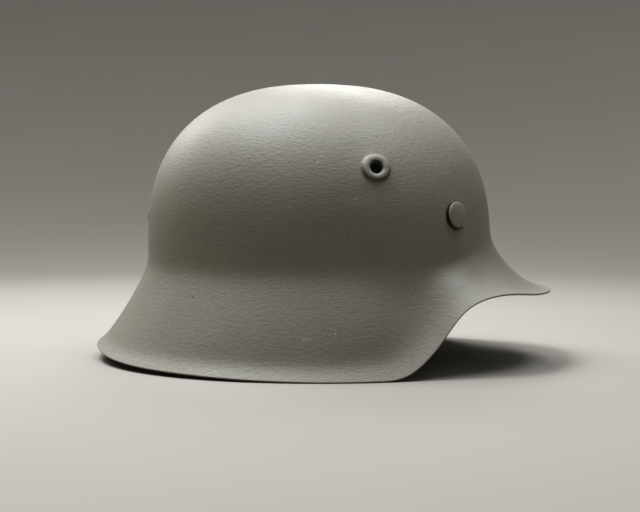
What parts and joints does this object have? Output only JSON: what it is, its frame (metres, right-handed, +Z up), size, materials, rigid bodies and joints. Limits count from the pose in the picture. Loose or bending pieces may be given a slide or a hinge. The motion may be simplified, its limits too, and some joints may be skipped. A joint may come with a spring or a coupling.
{
  "type": "steel combat helmet shell",
  "caption": "One-piece pressed steel helmet shell with a visor, a flared neck and ear skirt, stamped side vents and liner rivets, painted matt grey-green.",
  "frame": {"origin": "middle of the bounding box, on the plane that the rim stands on", "axes": "+Z up, the visor points to -Y, the wearer's right is -X"},
  "size_m": [0.2404, 0.2906, 0.1733],
  "materials": {
    "shell_paint": "matt, finely pebbled grey-green paint on sheet steel",
    "rivet_paint": "matt grey-green paint, a little smoother and worn at the edge"
  },
  "bodies": {
    "root": {"shell": "shell_paint", "rivet_front_right": "rivet_paint", "rivet_front_left": "rivet_paint", "rivet_rear": "rivet_paint"}
  },
  "joints": []
}
